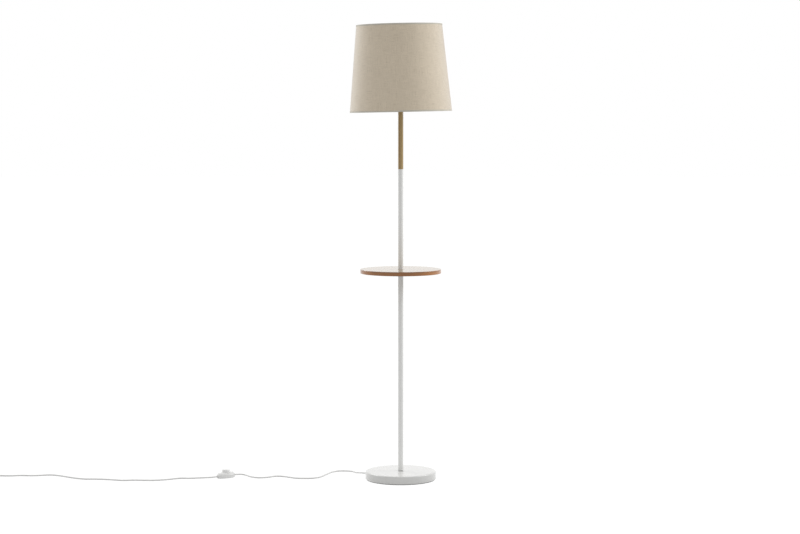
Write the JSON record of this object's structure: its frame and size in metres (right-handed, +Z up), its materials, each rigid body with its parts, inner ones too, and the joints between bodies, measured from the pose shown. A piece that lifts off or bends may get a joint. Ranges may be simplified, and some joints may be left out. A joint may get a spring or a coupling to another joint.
{
  "type": "floor lamp with table",
  "caption": "Slim floor lamp on a weighted disc base, with a round wooden side table on its pole, a wooden upper rod, a cone-shaped linen shade and a foot switch in its lead.",
  "frame": {"origin": "on the floor, on the axis of the pole, at the centre of the round base", "axes": "+Z up along the pole; the camera of the picture looks along +Y, so -Y is the front and the lead runs off towards -X"},
  "size_m": [1.6709, 0.3478, 1.559],
  "materials": {
    "white_paint": "gloss white powder coat",
    "cement": "cast, rough",
    "foam_pad": "matt foam",
    "bare_steel": "zinc plated",
    "plain_brass": "turned",
    "oak": "clear satin lacquer over light oak",
    "linen": "natural linen weave on a stiff backing",
    "holder_plastic": "moulded",
    "bulb_plastic": "moulded",
    "bulb_opal": "opal, smooth",
    "bulb_metal": "nickel plated",
    "board": "circuit board",
    "grey_plastic": "moulded",
    "lead_pvc": "smooth flexible sheath",
    "core_pvc": "core insulation",
    "switch_plastic": "moulded, lightly polished",
    "black_plastic": "moulded",
    "nickel_pins": "nickel plated"
  },
  "bodies": {
    "root": {"base_pad": "foam_pad", "base_cover": "white_paint", "base_weight": "cement", "base_washer": "bare_steel", "base_nut": "plain_brass", "base_nipple": "bare_steel", "lead_relief": "lead_pvc", "pole_foot": "grey_plastic", "lower_tube": "white_paint", "tube_plugs": "bare_steel", "table_flange": "bare_steel", "flange_screws": "bare_steel", "table_nipple": "bare_steel", "table_top": "oak", "middle_tube": "white_paint", "joint_nipple": "bare_steel", "wood_rod": "oak", "top_nipple": "bare_steel", "pole_lead": "lead_pvc", "holder_cap": "holder_plastic", "holder_skirt": "holder_plastic", "holder_insert": "holder_plastic", "holder_contacts": "plain_brass", "holder_cores": "core_pvc", "shade_ring": "holder_plastic", "cord_to_switch": "lead_pvc", "switch_base": "switch_plastic", "switch_cover": "switch_plastic", "switch_screws": "bare_steel", "switch_contacts": "plain_brass", "switch_cores": "core_pvc", "switch_spring": "bare_steel", "cord_to_coil": "lead_pvc", "cord_coil": "lead_pvc", "plug_relief": "lead_pvc", "plug_body": "lead_pvc", "plug_sleeves": "black_plastic", "plug_pins": "nickel_pins"},
    "shade": {"shade_spider": "white_paint", "shade_top_wire": "white_paint", "shade_fabric": "linen"},
    "bulb": {"bulb_cap": "bulb_metal", "bulb_insulator": "black_plastic", "bulb_eyelet": "plain_brass", "bulb_housing": "bulb_plastic", "bulb_board": "board", "bulb_dome": "bulb_opal"},
    "button": {"switch_button": "switch_plastic", "switch_bridge": "plain_brass"}
  },
  "joints": [
    {"name": "shade_turn", "type": "hinge", "parent": "root", "child": "shade", "pos_m": [0, 0, 1.3], "axis": [0, 0, 1], "continuous": true},
    {"name": "bulb_out", "type": "slide", "parent": "root", "child": "bulb", "axis": [0, 0, 1], "range_m": [0, 0.028]},
    {"name": "button_press", "type": "slide", "parent": "root", "child": "button", "axis": [0, 0, -1], "range_m": [0, 0.003], "stiffness_N_per_m": 400, "springref_m": -0.008, "deforming": ["switch_spring"]}
  ]
}
